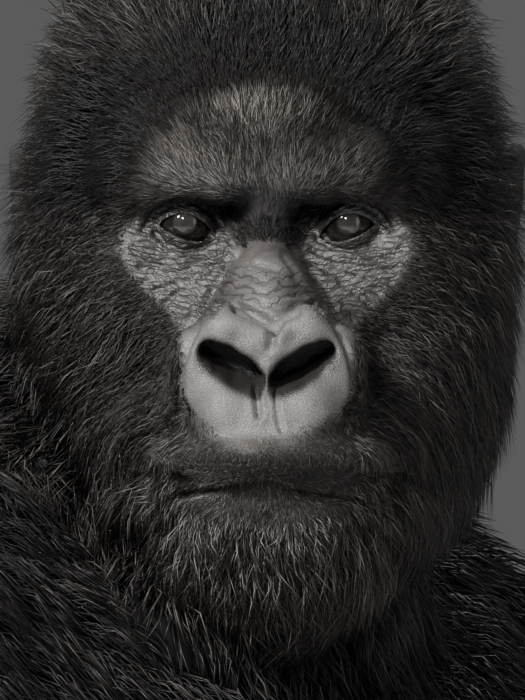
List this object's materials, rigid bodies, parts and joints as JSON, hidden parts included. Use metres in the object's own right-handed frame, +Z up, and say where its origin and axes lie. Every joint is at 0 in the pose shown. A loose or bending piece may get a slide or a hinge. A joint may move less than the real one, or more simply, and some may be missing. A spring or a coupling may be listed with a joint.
{
  "type": "gorilla",
  "caption": "Life-size seated silverback gorilla, a still museum model with its face turned over one shoulder and its knuckles on the floor.",
  "frame": {"origin": "where the seat rests on the floor, under the middle of the rump", "axes": "+Z up, the face looks along -Y, +X to the animal's left as it looks; the chest faces between +X and -Y, 62 degrees round from -Y"},
  "size_m": [0.9687, 0.9342, 1.0926],
  "materials": {
    "skin": "satin, bare dark grey skin",
    "coat": "near-black fur",
    "silver": "silver grey fur of the saddle",
    "eye": "wet gloss"
  },
  "bodies": {
    "root": {"belly": "silver", "big_toe_left": "skin", "big_toe_right": "skin", "chest": "coat", "ear_left": "skin", "ear_right": "skin", "eye_left": "eye", "eye_right": "eye", "fifth_toe_left": "skin", "fifth_toe_right": "skin", "foot_left": "skin", "foot_right": "skin", "forearm_left": "coat", "forearm_right": "coat", "fourth_toe_left": "skin", "fourth_toe_right": "skin", "hand_left": "skin", "hand_right": "skin", "head": "coat", "index_finger_left": "skin", "index_finger_right": "skin", "little_finger_left": "skin", "little_finger_right": "skin", "lower_jaw": "coat", "middle_finger_left": "skin", "middle_finger_right": "skin", "neck": "coat", "ring_finger_left": "skin", "ring_finger_right": "skin", "rump": "silver", "second_toe_left": "skin", "second_toe_right": "skin", "shank_left": "coat", "shank_right": "coat", "thigh_left": "coat", "thigh_right": "coat", "third_toe_left": "skin", "third_toe_right": "skin", "thumb_left": "skin", "thumb_right": "skin", "upper_arm_left": "coat", "upper_arm_right": "coat"}
  },
  "joints": []
}
